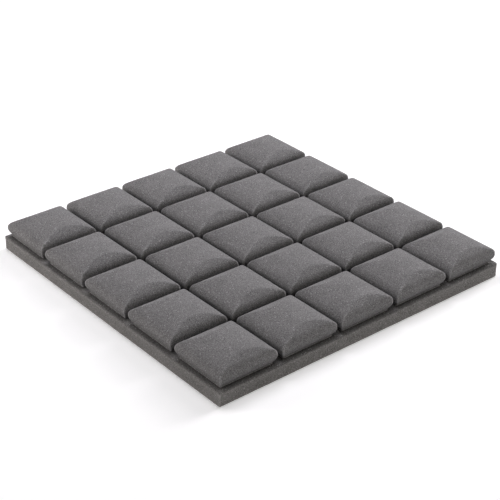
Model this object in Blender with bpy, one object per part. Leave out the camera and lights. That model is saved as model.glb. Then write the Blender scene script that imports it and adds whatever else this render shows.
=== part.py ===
"""Acoustic foam tile: a flat backing slab that carries a square grid of undercut mushroom pads.

Metres, +Z up. The tile lies on its flat back. The origin is the middle of the back, the pads face +Z.
+X runs along the front right edge, +Y along the front left edge of the tile as it is photographed.
"""
import math

import bmesh
import bpy

# Tile
TILE_WIDTH = 0.500            # along X
TILE_DEPTH = 0.500            # along Y
SLAB_THICKNESS = 0.0205       # back to the floor of the grooves
SLAB_CORNER_RADIUS = 0.0008   # plan radius of the four upright corners
SLAB_EDGE_RADIUS = 0.0012     # softened top edge of the slab

# Grid of pads
PADS_ACROSS = 5               # number of pads along X
PADS_DEEP = 5                 # number of pads along Y
GROOVE_WIDTH = 0.008          # clear gap between the rims of two pads
SEAT_GAP = 0.0003             # clearance between a pad's foot and the slab

# Outline of the pads, as the wire cuts it
CROWN_HEIGHT = 0.0535         # back to the top of the crown, first cut, drawn across X
SHOULDER_RADIUS = 0.012       # rounding from that crown to the rim
FRONT_CROWN_HEIGHT = 0.0625   # second cut, drawn across Y, so high that it only shaves the two ends:
FRONT_SHOULDER_RADIUS = 0.017  # its front half, towards -Y
BACK_CROWN_HEIGHT = 0.0565    # its back half is lower and tighter, towards +Y
BACK_SHOULDER_RADIUS = 0.011
RIM_HEIGHT = 0.0345           # back to the widest line of a pad
RIM_RADIUS = 0.012            # rounding where a pad turns under its rim
UNDERCUT_ANGLE = 30.0         # degrees that the wall under the rim leans in from upright
FOOT_RADIUS = 0.003           # hollow fillet where the wall meets the slab

# Facets
CROWN_STEPS = 8               # on each half of a crown
SHOULDER_STEPS = 6
UNDER_STEPS = 2
FOOT_STEPS = 2
CORNER_STEPS = 4              # on an upright corner of the slab
EDGE_STEPS = 2                # on the top edge of the slab
ROUND_PROFILE = 0.5           # bevel profile that follows a circle
END_MARGIN = 0.006            # how far a cutting profile runs past the pad
WELD_DISTANCE = 0.00001

# Foam
PAD_COLOUR = (0.200, 0.196, 0.196, 1.0)
SLAB_COLOUR = (0.200, 0.194, 0.189, 1.0)
FOAM_ROUGHNESS = 0.95

COLLECTION_NAME = "acoustic_foam_tile"


def clear_scene():
    """Remove every object that the file starts with."""
    for old in list(bpy.data.objects):
        bpy.data.objects.remove(old, do_unlink=True)


def make_collection(name):
    """Make a collection and link it to the scene."""
    group = bpy.data.collections.new(name)
    bpy.context.scene.collection.children.link(group)
    return group


def foam_material(name, colour):
    """Open cell foam of the given grey, quite dull."""
    material = bpy.data.materials.new(name)
    material.use_nodes = True
    shader = material.node_tree.nodes["Principled BSDF"]
    shader.inputs["Base Color"].default_value = colour
    shader.inputs["Roughness"].default_value = FOAM_ROUGHNESS
    shader.inputs["Metallic"].default_value = 0.0
    return material


def arc(centre, radius, start, end, steps):
    """Points on an arc, angles in radians from +u towards +v, both ends included."""
    points = []
    for step in range(steps + 1):
        angle = start + (end - start) * step / steps
        points.append((centre[0] + radius * math.cos(angle), centre[1] + radius * math.sin(angle)))
    return points


def mushroom_half(half_width, top, shoulder_radius):
    """Right half of a pad's outline, from the top of the crown down to its foot.

    The crown's arc is centred on the pad and runs into the shoulder's arc, which touches the half
    width at the rim. A second arc turns under the rim into a straight wall that leans in, and a
    hollow fillet ends it at the slab.
    """
    shoulder_u = half_width - shoulder_radius
    rise = top - RIM_HEIGHT
    crown_radius = (shoulder_u ** 2 + rise ** 2 - shoulder_radius ** 2) / (2 * (rise - shoulder_radius))
    crown_centre = top - crown_radius
    meet = math.atan2(RIM_HEIGHT - crown_centre, shoulder_u)
    lean = math.radians(UNDERCUT_ANGLE)
    points = arc((0.0, crown_centre), crown_radius, math.pi / 2, meet, CROWN_STEPS)
    points += arc((shoulder_u, RIM_HEIGHT), shoulder_radius, meet, 0.0, SHOULDER_STEPS)[1:]
    points += arc((half_width - RIM_RADIUS, RIM_HEIGHT), RIM_RADIUS, 0.0, -lean, UNDER_STEPS)[1:]
    wall_u, wall_v = points[-1]
    fillet_centre_v = SLAB_THICKNESS + SEAT_GAP + FOOT_RADIUS
    fillet_v = fillet_centre_v - FOOT_RADIUS * math.sin(lean)
    fillet_u = wall_u - (wall_v - fillet_v) * math.tan(lean)
    fillet_centre = (fillet_u + FOOT_RADIUS * math.cos(lean), fillet_centre_v)
    points += arc(fillet_centre, FOOT_RADIUS, math.pi + lean, math.pi * 1.5, FOOT_STEPS)
    return points


def profile_prism(name, left, right, length, cutters):
    """Extrude an outline of two halves along Y by the given length and return it as a mesh object."""
    outline = [(-u, v) for u, v in reversed(left)] + right
    if left[0] == right[0]:
        outline.remove(left[0])
    curve = bpy.data.curves.new(name, "CURVE")
    curve.dimensions = "2D"
    curve.fill_mode = "BOTH"
    curve.extrude = length / 2
    spline = curve.splines.new("POLY")
    spline.points.add(len(outline) - 1)
    for point, (u, v) in zip(spline.points, outline):
        point.co = (u, v, 0.0, 1.0)
    spline.use_cyclic_u = True
    drawn = bpy.data.objects.new(name + "_outline", curve)
    drawn.rotation_euler = (math.pi / 2, 0.0, 0.0)
    cutters.objects.link(drawn)
    bpy.context.view_layer.update()
    evaluated = drawn.evaluated_get(bpy.context.evaluated_depsgraph_get())
    mesh = bpy.data.meshes.new_from_object(evaluated)
    build = bmesh.new()
    build.from_mesh(mesh)
    build.transform(drawn.matrix_world)
    bmesh.ops.remove_doubles(build, verts=build.verts, dist=WELD_DISTANCE)
    bmesh.ops.recalc_face_normals(build, faces=build.faces)
    for face in build.faces:
        face.smooth = False
    build.to_mesh(mesh)
    build.free()
    bpy.data.objects.remove(drawn, do_unlink=True)
    prism = bpy.data.objects.new(name, mesh)
    cutters.objects.link(prism)
    return prism


def pad_mesh(pad_width, pad_depth, cutters):
    """Shape of one pad: the mushroom drawn across X, trimmed by the fuller mushroom drawn across Y."""
    side = mushroom_half(pad_width / 2, CROWN_HEIGHT, SHOULDER_RADIUS)
    front = mushroom_half(pad_depth / 2, FRONT_CROWN_HEIGHT, FRONT_SHOULDER_RADIUS)
    back = mushroom_half(pad_depth / 2, BACK_CROWN_HEIGHT, BACK_SHOULDER_RADIUS)
    across = profile_prism("cut_across", side, side, pad_depth + 2 * END_MARGIN, cutters)
    along = profile_prism("cut_along", front, back, pad_width + 2 * END_MARGIN, cutters)
    along.rotation_euler = (0.0, 0.0, math.pi / 2)
    along.hide_render = True
    along.display_type = "WIRE"
    trim = across.modifiers.new("second_cut", "BOOLEAN")
    trim.operation = "INTERSECT"
    trim.solver = "EXACT"
    trim.object = along
    bpy.context.view_layer.update()
    evaluated = across.evaluated_get(bpy.context.evaluated_depsgraph_get())
    mesh = bpy.data.meshes.new_from_object(evaluated)
    mesh.name = "pad"
    bpy.data.objects.remove(across, do_unlink=True)
    bpy.data.objects.remove(along, do_unlink=True)
    return mesh


def add_slab(parts, material):
    """Backing slab with softly rounded upright corners and top edges, flat on its back."""
    mesh = bpy.data.meshes.new("base_slab")
    build = bmesh.new()
    bmesh.ops.create_cube(build, size=1.0)
    bmesh.ops.scale(build, vec=(TILE_WIDTH, TILE_DEPTH, SLAB_THICKNESS), verts=build.verts)
    bmesh.ops.translate(build, vec=(0.0, 0.0, SLAB_THICKNESS / 2), verts=build.verts)
    mid_height = SLAB_THICKNESS / 2
    upright = [e for e in build.edges if (e.verts[0].co.z > mid_height) != (e.verts[1].co.z > mid_height)]
    bmesh.ops.bevel(build, geom=upright, offset=SLAB_CORNER_RADIUS, segments=CORNER_STEPS,
                    profile=ROUND_PROFILE, affect="EDGES")
    rim = [e for e in build.edges if min(v.co.z for v in e.verts) > mid_height]
    bmesh.ops.bevel(build, geom=rim, offset=SLAB_EDGE_RADIUS, segments=EDGE_STEPS,
                    profile=ROUND_PROFILE, affect="EDGES")
    build.to_mesh(mesh)
    build.free()
    mesh.materials.append(material)
    slab = bpy.data.objects.new("base_slab", mesh)
    parts.objects.link(slab)
    return slab


def add_pads(parts, cutters, material, slab):
    """One object for each pad, in rows along Y and columns along X, all sharing one shape."""
    pitch_x = TILE_WIDTH / PADS_ACROSS
    pitch_y = TILE_DEPTH / PADS_DEEP
    mesh = pad_mesh(pitch_x - GROOVE_WIDTH, pitch_y - GROOVE_WIDTH, cutters)
    mesh.materials.clear()
    mesh.materials.append(material)
    for row in range(PADS_DEEP):
        for column in range(PADS_ACROSS):
            pad = bpy.data.objects.new(f"pad_r{row + 1}_c{column + 1}", mesh)
            pad.location = ((column + 0.5) * pitch_x - TILE_WIDTH / 2,
                            (row + 0.5) * pitch_y - TILE_DEPTH / 2, 0.0)
            pad.parent = slab
            parts.objects.link(pad)


def main():
    clear_scene()
    parts = make_collection(COLLECTION_NAME)
    cutters = make_collection("cutters")
    slab = add_slab(parts, foam_material("slab_foam", SLAB_COLOUR))
    add_pads(parts, cutters, foam_material("pad_foam", PAD_COLOUR), slab)


main()
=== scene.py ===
"""Acoustic foam tile, dressed: twenty five contour cut foam pads on their backing slab, in a studio.

Metres, +Z up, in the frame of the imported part. The tile lies on its flat back, the pads face +Z.
"""
import math

import bpy
import numpy as np
from bpy.props import FloatProperty, FloatVectorProperty, PointerProperty
from mathutils import Matrix, Vector


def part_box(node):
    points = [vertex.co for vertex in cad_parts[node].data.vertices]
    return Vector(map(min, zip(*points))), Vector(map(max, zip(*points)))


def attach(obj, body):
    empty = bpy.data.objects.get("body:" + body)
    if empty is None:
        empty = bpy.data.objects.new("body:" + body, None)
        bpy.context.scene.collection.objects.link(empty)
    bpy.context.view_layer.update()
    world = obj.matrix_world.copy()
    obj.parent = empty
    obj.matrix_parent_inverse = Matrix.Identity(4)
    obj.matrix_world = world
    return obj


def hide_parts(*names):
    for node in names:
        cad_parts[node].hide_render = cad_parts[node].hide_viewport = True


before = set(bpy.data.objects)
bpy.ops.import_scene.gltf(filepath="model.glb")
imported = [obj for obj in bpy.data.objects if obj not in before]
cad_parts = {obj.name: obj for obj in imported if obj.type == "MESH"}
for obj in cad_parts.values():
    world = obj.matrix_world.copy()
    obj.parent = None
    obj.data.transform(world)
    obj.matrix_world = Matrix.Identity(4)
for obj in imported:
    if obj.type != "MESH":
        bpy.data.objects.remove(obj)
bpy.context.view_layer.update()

bl_info = {
    "name": "Acoustic foam tile",
    "version": (1, 0, 0),
    "blender": (4, 5, 0),
    "location": "View3D > Sidebar > Foam tile",
    "description": "Cuts a square foam tile of mushroom pads and sets it in a plain studio",
    "category": "Add Mesh",
}

SLAB_LOW, SLAB_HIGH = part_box("base_slab")
PAD_LOW, PAD_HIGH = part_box("pad_r1_c1")
PAD_ACROSS = PAD_HIGH[0] - PAD_LOW[0]
PAD_ALONG = PAD_HIGH[1] - PAD_LOW[1]
PAD_FOOT = PAD_LOW[2]
ROWS = 5
COLUMNS = 5
ACROSS = Vector((1.0, 0.0, 0.0))
ALONG = Vector((0.0, 1.0, 0.0))
UP = Vector((0.0, 0.0, 1.0))

# Meshes

SPECK = 0.001                 # size of the plane that is merged into the first point of an outline
ARC_STEP = math.radians(3.0)  # turn of one facet on a drawn arc
LEAST_STEPS = 2               # facets on the shortest arc
OVERRUN = 0.012               # how much longer a cut is than the pad
SOFT_DEPTH = 0.003            # down to here below a crown's top, its creases stay soft
TIGHT_DEPTH = 0.008           # from here down, a pad's mesh lies tight on the sharp cut
FAR_TIP = (0.070, 0.082)      # X + Y on a pad where its blunt far tip starts and is full
TIP_SMOOTHING = 0.5           # share of the way to its neighbours that a point moves each time
TIP_REPEATS = 30
# Painted highlight along the sharp hips and edges that face the front corner:
RIDGE_TURN = (140.0, 420.0)   # turn of the surface per metre where a ridge starts and is full
FRONT_FACING = 0.6            # how far a normal has to lean to the front corner to count as facing it
WAVER_LENGTH = 0.030          # from one slow rise of the surface to the next
CELL_LENGTH = 0.0028          # from one small rise to the next
NO_LIFT = 0.5                 # level of a texture that leaves the surface in its place
SLAB_FACES = 200              # faces of the slab along each side
SLAB_LAYERS = 10              # faces of the slab over its height
EDGE_WIDTH = 0.0011           # width of the slab's softened edges
EDGE_FACES = 2
EDGE_TURN = math.radians(60.0)    # edges that turn more than this are softened
SMOOTH_TURN = math.radians(50.0)  # and those that turn less than this are shaded smooth
BLUNT_CORNERS = (
    # sign of X and of Y at the corner of the slab, radius it is worn to
    (1.0, -1.0, 0.0045),
    (-1.0, 1.0, 0.0028),
)

# Foam. Where a change has two limits, it starts at the first and is full at the second.

FINE_SIZE = 0.7               # features of the fine and of the coarse grain, in cells
GRAIN_SIZE = 2.4
CLOUD_SIZE = 0.024
FLECK_EDGE = (0.12, 0.30)     # from the middle of a fleck outwards, in fleck spacings
FLECK_CHOICE = (0.35, 0.85)   # random number of the flecks that show
FLECK_SHARE = 0.55            # how far a fleck covers the foam's own colour
FLECK_LIFT = 2.6              # painted glint: how much lighter than the foam a fleck is
PLAIN_TONE = 0.93             # tone of the foam where its pattern is even
PORE_MIDDLE = 0.48            # mean of the pores' pattern
NOISE_MIDDLE = 0.5            # mean of a noise
PORE_TONE = 0.9               # weight of each pattern in the tone
FINE_TONE = 2.6
GRAIN_TONE = 0.4
CLOUD_TONE = 0.3
TONE_LEAST = 0.15             # limits of the finished tone
TONE_MOST = 3.0
PORE_RELIEF = 0.5             # weight of each pattern in the relief
FINE_RELIEF = 0.8
GRAIN_RELIEF = 0.6
RELIEF_STRENGTH = 0.5
RELIEF_DEPTH = 0.0006
ROUGHNESS = (0.86, 0.14)      # least roughness, and how much the grain adds
FOAM_SPECULAR = 0.2
RIM_HIGHLIGHT = 0.13               # painted highlight: how much lighter a pad is along its rim
RIM_START = (-0.003, 0.002)   # heights from the rim's, where that band comes in
RIM_END = (0.004, 0.011)      # and where it goes
LIP_HIGHLIGHT = 0.07               # painted highlight: how much lighter the slab is just under its ledge
LIP_START = (-0.0055, -0.0040)    # heights from the ledge's, where that band comes in
LIP_END = (-0.0030, -0.0015)      # and where it goes
LEDGE_START = (-0.0022, -0.0004)  # where the ledge's painted shade comes in
RIDGE_END = (-0.004, -0.002)      # where the painted highlight on the upright edges of the slab goes
DIAGONAL = (-0.006, 0.006)    # X - Y, from the left half of the tile to the right half
RIMS_END = (0.239, 0.246)     # distance from the middle lines where the pads' rims end
LEDGE_SHADE = 0.20            # painted shade: how much darker the ledge is, and how much more on the right
RIGHT_SHADE = 0.20
CORNER_LIGHT = 0.7            # share of that shade that the open corners lack
BETWEEN_SHADE = 0.35          # painted shade: how much darker still the slab is between the pads

# Studio

FLOOR_DROP = 0.0006           # keeps the floor clear of the tile's uneven back
PAPER_TOOTH = 0.004           # features of the paper
PAPER_ROUGHNESS = (0.9, 0.1)  # least roughness, and how much the tooth adds
FLOOR_FADE = (0.9, 3.0)       # distance from the tile where the floor turns to plain white
CAMERA_PLACE = (-1.08514, -1.30548, 0.98712)
CAMERA_TURN = (60.3156, -0.5290, -39.5352)    # degrees about X, Y and Z
CAMERA_LENS = 98.672          # millimetres, as the sensor's width is
CAMERA_SENSOR = 36.0
CAMERA_REACH = 100.0          # farthest distance that the camera sees
LAMPS = (
    # name, azimuth from +X and elevation in degrees, distance, width, watts, colour
    ("overhead", 90.0, 72.0, 1.4, 0.66, 7.0, (1.00, 0.98, 1.04)),
    ("right_soft", 0.0, 28.0, 3.0, 1.4, 52.0, (1.02, 1.00, 1.01)),
    ("right_high", 0.0, 50.0, 3.0, 1.4, 22.0, (1.00, 0.98, 1.03)),
    ("left_soft", 135.0, 28.0, 2.2, 1.0, 12.0, (1.01, 1.00, 1.01)),
    ("left_low", 135.0, 8.0, 2.2, 1.0, 15.0, (1.08, 1.01, 0.94)),
    ("front_soft", 270.0, 28.0, 3.0, 1.4, 11.8, (1.05, 1.02, 0.95)),
    ("front_low", 315.0, 8.0, 1.8, 0.8, 1.7, (1.04, 1.02, 0.95)),
    ("right_low", 0.0, 8.0, 3.0, 1.4, 2.0, (1.00, 1.00, 1.00)),
)


# Sizes and colours

class PadSizes(bpy.types.PropertyGroup):
    """Outline of the pads, as the wire cuts it."""
    crown_height: FloatProperty(
        name="Crown height", description="Back of the tile to the top of a pad",
        default=0.0535, unit="LENGTH")
    shoulder: FloatProperty(
        name="Side shoulder", description="Rounding from the crown to the rim, first cut",
        default=0.012, unit="LENGTH")
    front_height: FloatProperty(
        name="Front cut height", description="Top of the second cut on its front half",
        default=0.0605, unit="LENGTH")
    front_shoulder: FloatProperty(
        name="Front shoulder", description="Rounding of the second cut on its front half",
        default=0.011, unit="LENGTH")
    front_upright: FloatProperty(
        name="Front upright", description="Straight part above the rim, front half of the second cut",
        default=0.0046, unit="LENGTH")
    back_height: FloatProperty(
        name="Back cut height", description="Top of the second cut on its back half",
        default=0.0565, unit="LENGTH")
    back_shoulder: FloatProperty(
        name="Back shoulder", description="Rounding of the second cut on its back half",
        default=0.011, unit="LENGTH")
    rim_height: FloatProperty(
        name="Rim height", description="Back of the tile to the widest line of a pad",
        default=0.0345, unit="LENGTH")
    rim_radius: FloatProperty(
        name="Rim radius", description="Rounding where a pad turns under its rim",
        default=0.012, unit="LENGTH")
    undercut: FloatProperty(
        name="Undercut", description="Lean of the wall under the rim, from upright",
        default=math.radians(30.0), subtype="ANGLE")
    foot_radius: FloatProperty(
        name="Foot fillet", description="Hollow rounding where the wall meets the slab",
        default=0.003, unit="LENGTH")
    voxel: FloatProperty(
        name="Mesh pitch", description="Size of the faces of a finished pad",
        default=0.00125, unit="LENGTH")


class FoamSurface(bpy.types.PropertyGroup):
    """Open cell foam: its colour and the unevenness of a wire cut."""
    pad_colour: FloatVectorProperty(
        name="Pad colour", description="Colour of the cut crowns",
        default=(0.190, 0.186, 0.187), subtype="COLOR", size=3)
    # Partly painted light: the pads' foam, made lighter and warmer to stand in for the light on the slab's
    # sides.
    lit_slab_colour: FloatVectorProperty(
        name="Slab colour", description="Colour of the cut sides of the slab",
        default=(0.224, 0.217, 0.211), subtype="COLOR", size=3)
    cell: FloatProperty(
        name="Cell size", description="Size of the open cells of the foam",
        default=0.0011, unit="LENGTH")
    fleck: FloatProperty(
        name="Fleck spacing", description="Distance between the cell walls that catch the light",
        default=0.0034, unit="LENGTH")
    # Painted highlight along the sharp hips.
    ridge: FloatProperty(
        name="Ridge lift", description="How much lighter the foam is along its sharp hips",
        default=0.50, min=0.0)
    grain: FloatProperty(
        name="Grain height", description="Depth of the cells in the surface",
        default=0.00035, unit="LENGTH")
    waver: FloatProperty(
        name="Waver", description="Slow unevenness left by the wire",
        default=0.0003, unit="LENGTH")


class StudioSetting(bpy.types.PropertyGroup):
    """Floor and level of the light."""
    floor_colour: FloatVectorProperty(
        name="Floor colour", description="Pale paper under the tile",
        default=(0.86, 0.86, 0.86), subtype="COLOR", size=3)
    floor_size: FloatProperty(
        name="Floor size", description="Side of the square floor",
        default=16.0, unit="LENGTH")
    floor_glow: FloatProperty(
        name="Floor glow", description="Light that the floor seems to give, seen by the camera alone",
        default=0.35, min=0.0)
    ambient: FloatProperty(
        name="Ambient level", description="Strength of the even light from all round",
        default=0.0, min=0.0)


# Helpers

def deselect():
    """Leave nothing selected and no object active."""
    if bpy.context.object and bpy.context.object.mode != "OBJECT":
        bpy.ops.object.mode_set(mode="OBJECT")
    bpy.ops.object.select_all(action="DESELECT")
    bpy.context.view_layer.objects.active = None


def pick(piece):
    """Make a piece the only selected object and the active one."""
    deselect()
    piece.select_set(True)
    bpy.context.view_layer.objects.active = piece


def finish_modifiers(piece):
    """Apply every modifier of a piece, in order."""
    pick(piece)
    for modifier in list(piece.modifiers):
        bpy.ops.object.modifier_apply(modifier=modifier.name)


def ramp(value, limits):
    """0 at the first limit, 1 at the second, straight between and level outside."""
    return np.clip((value - limits[0]) / (limits[1] - limits[0]), 0.0, 1.0)


def weigh(piece, name, share_at):
    """Vertex group that holds share_at(place) at each point."""
    group = piece.vertex_groups.new(name=name)
    for vertex in piece.data.vertices:
        group.add([vertex.index], share_at(vertex.co), "REPLACE")


def own_copy(piece, name):
    """Copy of a piece with a mesh of its own."""
    pick(piece)
    bpy.ops.object.duplicate(linked=False)
    copy = bpy.context.object
    copy.name = name
    copy.data.name = name
    return copy


# Outlines and meshes of the pads

def half_outline(half_width, top, shoulder, upright, sizes):
    """Half of a cut's outline: strokes from the crown's top to its foot, the foot's half width, the top.

    An arc is (centre u, centre v, angle), turned from +v towards +u. A line is (step u, step v).
    """
    shoulder_u = half_width - shoulder
    shoulder_v = sizes.rim_height + upright
    rise = top - shoulder_v
    crown_radius = (shoulder_u ** 2 + rise ** 2 - shoulder ** 2) / (2.0 * (rise - shoulder))
    crown_v = top - crown_radius
    meet = math.atan2(shoulder_u, shoulder_v - crown_v)
    lean = sizes.undercut
    rim_u = half_width - sizes.rim_radius
    wall_u = rim_u + sizes.rim_radius * math.cos(lean)
    wall_v = sizes.rim_height - sizes.rim_radius * math.sin(lean)
    fillet_v = PAD_FOOT + sizes.foot_radius * (1.0 - math.sin(lean))
    step_u = -(wall_v - fillet_v) * math.tan(lean)
    fillet_centre_u = wall_u + step_u + sizes.foot_radius * math.cos(lean)
    fillet_centre_v = PAD_FOOT + sizes.foot_radius
    strokes = [
        (0.0, crown_v, meet),
        (shoulder_u, shoulder_v, math.pi / 2 - meet),
        (0.0, -upright),
        (rim_u, sizes.rim_height, lean),
        (step_u, fillet_v - wall_v),
        (fillet_centre_u, fillet_centre_v, lean - math.pi / 2),
    ]
    return strokes, fillet_centre_u, top


def mirrored(strokes):
    """The same strokes on the other half, drawn from the foot up to the crown."""
    turned = []
    for stroke in reversed(strokes):
        if len(stroke) == 3:
            turned.append((-stroke[0], stroke[1], stroke[2]))
        else:
            turned.append((stroke[0], -stroke[1]))
    return turned


def cut_block(name, left, right, along, length):
    """Block with two half outlines, drawn in the upright plane of along, and its length across.

    One point is drawn round the outline by spins and extrusions, then the outline is filled and
    extruded.
    """
    left_strokes, left_foot, left_top = left
    right_strokes, _, right_top = right
    axis = UP.cross(along)
    start = along * -left_foot + UP * PAD_FOOT - axis * (length / 2)
    deselect()
    bpy.ops.mesh.primitive_plane_add(size=SPECK, location=start)
    block = bpy.context.object
    block.name = name
    bpy.ops.object.transform_apply(location=True, rotation=True, scale=True)
    bpy.ops.object.mode_set(mode="EDIT")
    bpy.ops.mesh.select_all(action="SELECT")
    bpy.ops.mesh.merge(type="CENTER")
    for stroke in mirrored(left_strokes) + [(0.0, right_top - left_top)] + right_strokes:
        place = along * stroke[0] + UP * stroke[1]
        if len(stroke) == 3:
            steps = max(LEAST_STEPS, round(abs(stroke[2]) / ARC_STEP))
            bpy.ops.mesh.spin(steps=steps, angle=-stroke[2], center=place - axis * (length / 2), axis=axis)
        elif any(stroke):
            bpy.ops.mesh.extrude_region_move(TRANSFORM_OT_translate={"value": place})
    bpy.ops.mesh.select_all(action="SELECT")
    bpy.ops.mesh.edge_face_add()
    bpy.ops.mesh.extrude_region_move(TRANSFORM_OT_translate={"value": axis * length})
    bpy.ops.mesh.select_all(action="SELECT")
    bpy.ops.mesh.normals_make_consistent(inside=False)
    bpy.ops.object.mode_set(mode="OBJECT")
    return block


def shape_pad(sizes):
    """One pad at the middle of the frame: the first cut trimmed by the second, as an even mesh."""
    side = half_outline(PAD_ACROSS / 2, sizes.crown_height, sizes.shoulder, 0.0, sizes)
    front = half_outline(PAD_ALONG / 2, sizes.front_height, sizes.front_shoulder,
                         sizes.front_upright, sizes)
    back = half_outline(PAD_ALONG / 2, sizes.back_height, sizes.back_shoulder, 0.0, sizes)
    first = cut_block("first_cut", side, side, ACROSS, PAD_ALONG + OVERRUN)
    second = cut_block("second_cut", front, back, ALONG, PAD_ACROSS + OVERRUN)
    trim = first.modifiers.new("trim", "BOOLEAN")
    trim.operation = "INTERSECT"
    trim.solver = "EXACT"
    trim.object = second
    even = first.modifiers.new("even", "REMESH")
    even.mode = "VOXEL"
    even.voxel_size = sizes.voxel
    even.use_smooth_shade = True
    sharp = own_copy(first, "sharp_cut")
    bpy.ops.object.modifier_remove(modifier="even")
    finish_modifiers(sharp)
    finish_modifiers(first)
    tighten(first, sharp, sizes)
    soften_far_tip(first)
    mark_ridges(first)
    bpy.data.objects.remove(second, do_unlink=True)
    bpy.data.objects.remove(sharp, do_unlink=True)
    return first


def tighten(pad, sharp, sizes):
    """Draw the lower half of an even mesh tight on the sharp cut, and leave the crown's creases soft."""
    heights = (sizes.crown_height - SOFT_DEPTH, sizes.crown_height - TIGHT_DEPTH)
    weigh(pad, "tight", lambda place: ramp(place.z, heights))
    wrap = pad.modifiers.new("tight", "SHRINKWRAP")
    wrap.target = sharp
    wrap.wrap_method = "NEAREST_SURFACEPOINT"
    wrap.wrap_mode = "ON_SURFACE"
    wrap.vertex_group = "tight"
    finish_modifiers(pad)
    pad.vertex_groups.clear()


def soften_far_tip(pad):
    """Round the hip at the far corner of a pad, which is blunt on the real tile."""
    weigh(pad, "far_tip", lambda place: ramp(place.x + place.y, FAR_TIP))
    soften = pad.modifiers.new("far_tip", "SMOOTH")
    soften.factor = TIP_SMOOTHING
    soften.iterations = TIP_REPEATS
    soften.vertex_group = "far_tip"
    finish_modifiers(pad)
    pad.vertex_groups.clear()


def mark_ridges(piece):
    """Store how sharply the surface turns at each point: 0 on flats, 1 on the hips of the front corner,
    where the material paints a highlight.
    """
    mesh = piece.data
    count = len(mesh.vertices)
    places = np.empty(count * 3)
    normals = np.empty(count * 3)
    ends = np.empty(len(mesh.edges) * 2, dtype=np.int64)
    mesh.vertices.foreach_get("co", places)
    mesh.vertex_normals.foreach_get("vector", normals)
    mesh.edges.foreach_get("vertices", ends)
    places = places.reshape(-1, 3)
    normals = normals.reshape(-1, 3)
    first, second = ends.reshape(-1, 2).T
    step = places[first] - places[second]
    turn = ((normals[first] - normals[second]) * step).sum(axis=1) / (step ** 2).sum(axis=1)
    sharpest = np.zeros(count)
    np.maximum.at(sharpest, first, turn)
    np.maximum.at(sharpest, second, turn)
    share = ramp(sharpest, RIDGE_TURN) * ramp(-(normals[:, 0] + normals[:, 1]), (0.0, FRONT_FACING))
    ridge = mesh.attributes.new("ridge", "FLOAT", "POINT")
    ridge.data.foreach_set("value", share.astype(np.float32))


def blunt_corner(piece, side_x, side_y, half_width, radius):
    """Round one upright corner of a square block, ring by ring, from a square to a quarter disc."""
    inner = half_width - radius
    for vertex in piece.data.vertices:
        out_x = vertex.co.x * side_x - inner
        out_y = vertex.co.y * side_y - inner
        if out_x > 0.0 and out_y > 0.0:
            share = max(out_x, out_y) / math.hypot(out_x, out_y)
            vertex.co.x = side_x * (inner + out_x * share)
            vertex.co.y = side_y * (inner + out_y * share)


def roughen(piece, surface):
    """Lift and sink the surface as the cells and the wavering wire leave it."""
    for name, length, height in (
            ("waver", WAVER_LENGTH, surface.waver),
            ("cells", CELL_LENGTH, surface.grain)):
        texture = bpy.data.textures.get(name) or bpy.data.textures.new(name, "CLOUDS")
        texture.noise_scale = length
        texture.noise_depth = 1
        lift = piece.modifiers.new(name, "DISPLACE")
        lift.texture = texture
        lift.texture_coords = "LOCAL"
        lift.direction = "NORMAL"
        lift.mid_level = NO_LIFT
        lift.strength = height
    finish_modifiers(piece)


# Materials

class Signal:
    """One output socket, with arithmetic that adds the Math nodes."""

    def __init__(self, sheet, socket):
        self.sheet = sheet
        self.socket = socket

    def maths(self, operation, first, second=0.0):
        return self.sheet.node("ShaderNodeMath", {"operation": operation}, {0: first, 1: second})

    def __add__(self, other):
        return self.maths("ADD", self, other)

    __radd__ = __add__

    def __sub__(self, other):
        return self.maths("SUBTRACT", self, other)

    def __rsub__(self, other):
        return self.maths("SUBTRACT", other, self)

    def __mul__(self, other):
        return self.maths("MULTIPLY", self, other)

    __rmul__ = __mul__

    def __abs__(self):
        return self.maths("ABSOLUTE", self)

    def larger(self, other):
        """The larger of two signals."""
        return self.maths("MAXIMUM", self, other)

    def smooth(self, limits, base=0.0):
        """0 below the first limit, 1 above the second, smooth between. Both are counted from base."""
        return self.sheet.node(
            "ShaderNodeMapRange", {"interpolation_type": "SMOOTHSTEP"},
            {"Value": self, "From Min": base + limits[0], "From Max": base + limits[1]})

    def band(self, start, end, base):
        """1 from the start to the end, 0 outside, smooth between. Both are counted from base."""
        return self.smooth(start, base) * (1.0 - self.smooth(end, base))


class Sheet:
    """Node tree of a material or a world, drawn from nothing."""

    def __init__(self, owner):
        owner.use_nodes = True
        self.owner = owner
        self.tree = owner.node_tree
        self.tree.nodes.clear()

    def node(self, kind, settings=None, values=None, output=0):
        """Add a node: its settings first, then the values or links of its sockets."""
        made = self.tree.nodes.new(kind)
        for key, value in (settings or {}).items():
            setattr(made, key, value)
        for key, value in (values or {}).items():
            socket = made.inputs[key]
            if isinstance(value, Signal):
                self.tree.links.new(value.socket, socket)
            else:
                socket.default_value = value
        return Signal(self, made.outputs[output]) if made.outputs else None

    def noise(self, place, size):
        """Soft noise from 0 to 1 with features of the given size."""
        return self.node("ShaderNodeTexNoise", {"noise_dimensions": "3D"},
                         {"Vector": place, "Scale": 1.0 / size, "Detail": 2.0})

    def cells(self, place, size, output):
        """Cells of the given size: the Distance from their middles, or a random Color for each."""
        return self.node("ShaderNodeTexVoronoi", {"feature": "F1"},
                         {"Vector": place, "Scale": 1.0 / size}, output=output)

    def grey(self, level):
        """Grey colour of a level."""
        return self.node("ShaderNodeCombineColor", {}, {0: level, 1: level, 2: level})

    def mixed(self, blend, factor, first, second):
        """Two colours blended by a factor."""
        return self.node("ShaderNodeMix", {"data_type": "RGBA", "blend_type": blend},
                         {0: factor, 6: first, 7: second}, output=2)


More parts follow.
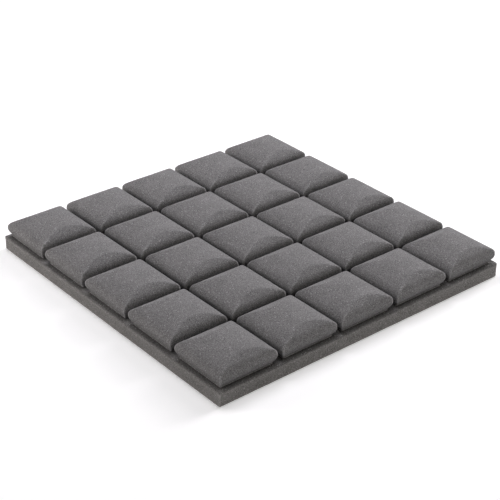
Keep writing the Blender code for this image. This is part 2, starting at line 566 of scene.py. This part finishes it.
def foam_finish(name, colour, surface, rim_height=None, ledge_height=None):
    """Open cell foam: dark pores, light cell walls, flecks painted as glints where cell walls catch the
    light, faint clouding.

    rim_height is the height of a pad's rim, along which a painted highlight lightens the foam.
    ledge_height is where the cut ledge of the slab starts, which is painted darker than its sides as
    shade; just under it the sides get a painted highlight.
    """
    sheet = Sheet(bpy.data.materials.new(name))
    place = sheet.node("ShaderNodeTexCoord", output="Object")
    pores = sheet.cells(place, surface.cell, "Distance")
    fine = sheet.noise(place, surface.cell * FINE_SIZE)
    grain = sheet.noise(place, surface.cell * GRAIN_SIZE)
    clouds = sheet.noise(place, CLOUD_SIZE)
    from_fleck = sheet.cells(place, surface.fleck, "Distance")
    lot = sheet.node("ShaderNodeSeparateColor", {}, {0: sheet.cells(place, surface.fleck, "Color")})
    # Flecks: painted glints of the cell walls.
    flecks = (1.0 - from_fleck.smooth(FLECK_EDGE)) * lot.smooth(FLECK_CHOICE)
    tone = (PLAIN_TONE + (pores - PORE_MIDDLE) * PORE_TONE + (fine - NOISE_MIDDLE) * FINE_TONE
            + (grain - NOISE_MIDDLE) * GRAIN_TONE + (clouds - NOISE_MIDDLE) * CLOUD_TONE)
    across, along, height = [sheet.node("ShaderNodeSeparateXYZ", {}, {0: place}, output=axis)
                             for axis in "XYZ"]
    ridge = sheet.node("ShaderNodeAttribute", {"attribute_name": "ridge"}, {}, output="Fac")
    if rim_height is not None:
        # Painted highlight along the rims of the pads.
        tone = tone * (1.0 + height.band(RIM_START, RIM_END, rim_height) * RIM_HIGHLIGHT)
    if ledge_height is not None:
        # Painted highlight on the slab's sides just under the ledge's edge.
        lip_highlight = height.band(LIP_START, LIP_END, ledge_height)
        # Painted shade on the ledge: darker on the right side and between the pads, lighter at the open
        # corners.
        ledge = height.smooth(LEDGE_START, ledge_height)
        ridge = ridge * (1.0 - height.smooth(RIDGE_END, ledge_height))
        right_side = (across - along).smooth(DIAGONAL)
        beside_x = abs(across).smooth(RIMS_END)
        beside_y = abs(along).smooth(RIMS_END)
        corner = beside_x * beside_y
        between = (1.0 - beside_x) * (1.0 - beside_y)
        painted_shade = (LEDGE_SHADE + right_side * RIGHT_SHADE) * (1.0 - corner * CORNER_LIGHT)
        tone = tone * (1.0 + lip_highlight * LIP_HIGHLIGHT - ledge * (painted_shade + between * BETWEEN_SHADE))
    # Painted highlight along the hips and edges that face the front corner.
    tone = tone * (1.0 + ridge * surface.ridge)
    tone = sheet.node("ShaderNodeClamp", {}, {"Value": tone, "Min": TONE_LEAST, "Max": TONE_MOST})
    body = sheet.mixed("MULTIPLY", 1.0, (*colour, 1.0), sheet.grey(tone))
    pale = tuple(min(1.0, share * FLECK_LIFT) for share in colour)
    relief = pores * PORE_RELIEF + fine * FINE_RELIEF + grain * GRAIN_RELIEF
    skin = sheet.node("ShaderNodeBsdfPrincipled", {}, {
        "Base Color": sheet.mixed("MIX", flecks * FLECK_SHARE, body, (*pale, 1.0)),
        "Roughness": ROUGHNESS[0] + grain * ROUGHNESS[1],
        "Normal": sheet.node("ShaderNodeBump", {}, {
            "Strength": RELIEF_STRENGTH, "Distance": RELIEF_DEPTH, "Height": relief}),
        "Specular IOR Level": FOAM_SPECULAR,
    })
    sheet.node("ShaderNodeOutputMaterial", {}, {"Surface": skin})
    return sheet.owner


def give_finish(piece, material):
    """Make a material the only one of a piece."""
    piece.data.materials.clear()
    piece.data.materials.append(material)


# Operators

class FOAMTILE_OT_cut_pads(bpy.types.Operator):
    """Cut the twenty five mushroom pads of foam"""
    bl_idname = "foam_tile.cut_pads"
    bl_label = "Cut the pads"

    def execute(self, context):
        sizes = context.scene.pad_sizes
        surface = context.scene.foam_surface
        pattern = shape_pad(sizes)
        finish = foam_finish("pad_foam", tuple(surface.pad_colour), surface,
                             rim_height=sizes.rim_height)
        for row in range(ROWS):
            for column in range(COLUMNS):
                node = f"pad_r{row + 1}_c{column + 1}"
                low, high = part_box(node)
                pad = own_copy(pattern, "foam_" + node)
                middle = ((low[0] + high[0]) / 2, (low[1] + high[1]) / 2, 0.0)
                pad.data.transform(Matrix.Translation(middle))
                roughen(pad, surface)
                give_finish(pad, finish)
                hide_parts(node)
                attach(pad, "root")
        bpy.data.objects.remove(pattern, do_unlink=True)
        return {"FINISHED"}


class FOAMTILE_OT_cut_slab(bpy.types.Operator):
    """Cut the backing slab of foam"""
    bl_idname = "foam_tile.cut_slab"
    bl_label = "Cut the slab"

    def execute(self, context):
        surface = context.scene.foam_surface
        width = SLAB_HIGH[0] - SLAB_LOW[0]
        height = SLAB_HIGH[2] - SLAB_LOW[2]
        deselect()
        bpy.ops.mesh.primitive_grid_add(x_subdivisions=SLAB_FACES, y_subdivisions=SLAB_FACES,
                                        size=width, location=(0.0, 0.0, SLAB_LOW[2]))
        slab = bpy.context.object
        slab.name = "foam_slab"
        bpy.ops.object.transform_apply(location=True, rotation=True, scale=True)
        bpy.ops.object.mode_set(mode="EDIT")
        bpy.ops.mesh.select_all(action="SELECT")
        for _ in range(SLAB_LAYERS):
            bpy.ops.mesh.extrude_region_move(
                TRANSFORM_OT_translate={"value": (0.0, 0.0, height / SLAB_LAYERS)})
        bpy.ops.mesh.select_all(action="SELECT")
        bpy.ops.mesh.normals_make_consistent(inside=False)
        bpy.ops.object.mode_set(mode="OBJECT")
        soft = slab.modifiers.new("soft_edges", "BEVEL")
        soft.limit_method = "ANGLE"
        soft.angle_limit = EDGE_TURN
        soft.width = EDGE_WIDTH
        soft.segments = EDGE_FACES
        finish_modifiers(slab)
        for side_x, side_y, radius in BLUNT_CORNERS:
            blunt_corner(slab, side_x, side_y, width / 2, radius)
        mark_ridges(slab)
        roughen(slab, surface)
        bpy.ops.object.shade_smooth_by_angle(angle=SMOOTH_TURN)
        give_finish(slab, foam_finish("slab_foam", tuple(surface.lit_slab_colour), surface,
                                      ledge_height=SLAB_HIGH[2]))
        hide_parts("base_slab")
        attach(slab, "root")
        return {"FINISHED"}


class FOAMTILE_OT_set_studio(bpy.types.Operator):
    """Set the pale floor, the soft lamps and the camera"""
    bl_idname = "foam_tile.set_studio"
    bl_label = "Set the studio"

    def execute(self, context):
        setting = context.scene.studio_setting
        self.lay_floor(setting)
        self.light_world(setting)
        for lamp in LAMPS:
            self.hang_lamp(*lamp)
        self.place_camera()
        context.scene.view_settings.view_transform = "Standard"
        return {"FINISHED"}

    def lay_floor(self, setting):
        """Pale paper that the camera sees turn to plain white far from the tile."""
        deselect()
        bpy.ops.mesh.primitive_plane_add(size=setting.floor_size, location=(0.0, 0.0, -FLOOR_DROP))
        floor = bpy.context.object
        floor.name = "floor"
        sheet = Sheet(bpy.data.materials.new("pale_paper"))
        place = sheet.node("ShaderNodeTexCoord", output="Object")
        seen = sheet.node("ShaderNodeLightPath", output="Is Camera Ray")
        tooth = sheet.noise(place, PAPER_TOOTH)
        reach = sheet.node("ShaderNodeVectorMath", {"operation": "LENGTH"}, {0: place}, output="Value")
        glow = seen * (setting.floor_glow + reach.smooth(FLOOR_FADE) * (1.0 - setting.floor_glow))
        paper = sheet.node("ShaderNodeBsdfPrincipled", {}, {
            "Base Color": (*setting.floor_colour, 1.0),
            "Roughness": PAPER_ROUGHNESS[0] + tooth * PAPER_ROUGHNESS[1],
            "Specular IOR Level": 0.0,
            "Emission Color": sheet.grey(glow),
            "Emission Strength": 1.0,
        })
        sheet.node("ShaderNodeOutputMaterial", {}, {"Surface": paper})
        give_finish(floor, sheet.owner)

    def light_world(self, setting):
        """Even light of the ambient level, and plain white where the camera or a reflection looks."""
        world = bpy.data.worlds.new("studio")
        bpy.context.scene.world = world
        sheet = Sheet(world)
        camera, glossy, through = [sheet.node("ShaderNodeLightPath", output=f"Is {ray} Ray")
                                   for ray in ("Camera", "Glossy", "Transmission")]
        seen = camera.larger(glossy).larger(through)
        glow = sheet.node("ShaderNodeBackground", {}, {
            "Color": (1.0, 1.0, 1.0, 1.0),
            "Strength": setting.ambient + seen * (1.0 - setting.ambient),
        })
        sheet.node("ShaderNodeOutputWorld", {}, {"Surface": glow})

    def hang_lamp(self, name, azimuth, elevation, distance, width, watts, colour):
        """Round soft lamp that faces the middle of the tile."""
        turn = math.radians(azimuth)
        lift = math.radians(elevation)
        place = Vector((math.cos(turn) * math.cos(lift),
                        math.sin(turn) * math.cos(lift),
                        math.sin(lift))) * distance
        deselect()
        bpy.ops.object.light_add(type="AREA", location=place,
                                 rotation=(-place).to_track_quat("-Z", "Y").to_euler())
        lamp = bpy.context.object
        lamp.name = name
        lamp.data.shape = "DISK"
        lamp.data.size = width
        lamp.data.energy = watts
        lamp.data.color = colour

    def place_camera(self):
        """Camera of the photograph."""
        deselect()
        turn = [math.radians(angle) for angle in CAMERA_TURN]
        bpy.ops.object.camera_add(location=CAMERA_PLACE, rotation=turn)
        camera = bpy.context.object
        camera.name = "studio_camera"
        camera.data.sensor_width = CAMERA_SENSOR
        camera.data.lens = CAMERA_LENS
        camera.data.clip_end = CAMERA_REACH
        bpy.context.scene.camera = camera


class FOAMTILE_PT_panel(bpy.types.Panel):
    """Lists the steps and their sizes"""
    bl_idname = "FOAMTILE_PT_panel"
    bl_label = "Foam tile"
    bl_space_type = "VIEW_3D"
    bl_region_type = "UI"
    bl_category = "Foam tile"

    def draw(self, context):
        layout = self.layout
        for group in (context.scene.pad_sizes, context.scene.foam_surface,
                      context.scene.studio_setting):
            box = layout.box()
            for name in group.__annotations__:
                box.prop(group, name)
        for operator in OPERATORS:
            layout.operator(operator.bl_idname)


OPERATORS = (FOAMTILE_OT_cut_slab, FOAMTILE_OT_cut_pads, FOAMTILE_OT_set_studio)
CLASSES = (PadSizes, FoamSurface, StudioSetting) + OPERATORS + (FOAMTILE_PT_panel,)


def register():
    for item in CLASSES:
        bpy.utils.register_class(item)
    bpy.types.Scene.pad_sizes = PointerProperty(type=PadSizes)
    bpy.types.Scene.foam_surface = PointerProperty(type=FoamSurface)
    bpy.types.Scene.studio_setting = PointerProperty(type=StudioSetting)


def unregister():
    del bpy.types.Scene.studio_setting
    del bpy.types.Scene.foam_surface
    del bpy.types.Scene.pad_sizes
    for item in reversed(CLASSES):
        bpy.utils.unregister_class(item)


def main():
    register()
    bpy.ops.foam_tile.cut_slab()
    bpy.ops.foam_tile.cut_pads()
    bpy.ops.foam_tile.set_studio()


if __name__ == "__main__":
    main()
